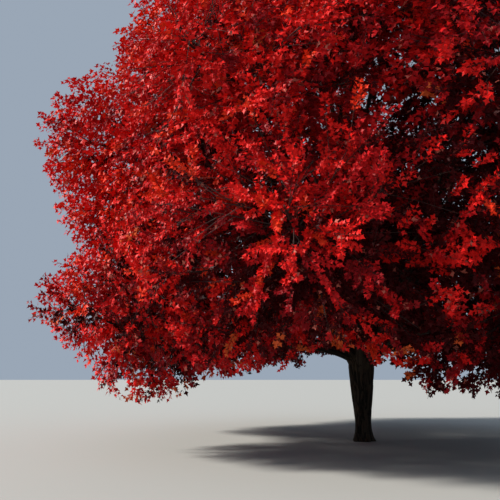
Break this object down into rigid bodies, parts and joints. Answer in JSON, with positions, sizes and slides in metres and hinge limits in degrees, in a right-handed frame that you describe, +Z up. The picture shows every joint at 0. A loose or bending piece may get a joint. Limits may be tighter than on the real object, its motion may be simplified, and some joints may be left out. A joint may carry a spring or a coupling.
{
  "type": "red maple tree",
  "caption": "Mature red maple in full autumn colour: short flared trunk, low forking limbs and a broad rounded crown of scarlet foliage, standing alone and rooted in level ground.",
  "frame": {"origin": "middle of the flat cut under the trunk, at ground level", "axes": "+Z up along the trunk; +Y away from the viewer of the picture and +X to that viewer's right"},
  "size_m": [16.8449, 16.7802, 15.7091],
  "materials": {
    "bark": "matt, ridged grey-brown bark, near black in shade",
    "foliage": "satin leaves in scarlet, crimson, burgundy and a little orange"
  },
  "bodies": {
    "root": {"trunk": "bark", "limb_1": "bark", "limb_2": "bark", "limb_3": "bark", "limb_4": "bark", "limb_5": "bark", "limb_6": "bark", "leader": "bark", "low_bough_1": "bark", "low_bough_2": "bark", "low_bough_3": "bark", "low_bough_4": "bark", "low_bough_5": "bark", "low_bough_6": "bark", "low_bough_7": "bark", "low_bough_8": "bark", "side_bough_1": "bark", "bough_1": "bark", "bough_2": "bark", "bough_3": "bark", "bough_4": "bark", "bough_5": "bark", "bough_6": "bark", "bough_7": "bark", "high_bough_1": "bark", "high_bough_2": "bark", "high_bough_3": "bark", "high_bough_4": "bark", "inner_bough_1": "bark", "inner_bough_2": "bark", "foliage_skirt_1": "foliage", "foliage_skirt_2": "foliage", "foliage_skirt_3": "foliage", "foliage_skirt_4": "foliage", "foliage_skirt_5": "foliage", "foliage_skirt_6": "foliage", "foliage_skirt_7": "foliage", "foliage_skirt_8": "foliage", "foliage_side_1": "foliage", "foliage_waist_1": "foliage", "foliage_waist_2": "foliage", "foliage_waist_3": "foliage", "foliage_waist_4": "foliage", "foliage_waist_5": "foliage", "foliage_waist_6": "foliage", "foliage_waist_7": "foliage", "foliage_shoulder_1": "foliage", "foliage_shoulder_2": "foliage", "foliage_shoulder_3": "foliage", "foliage_shoulder_4": "foliage", "foliage_shoulder_5": "foliage", "foliage_shoulder_6": "foliage", "foliage_crest_1": "foliage", "foliage_crest_2": "foliage", "foliage_crest_3": "foliage", "foliage_crest_4": "foliage", "foliage_top": "foliage", "foliage_inner_1": "foliage", "foliage_inner_2": "foliage"}
  },
  "joints": []
}
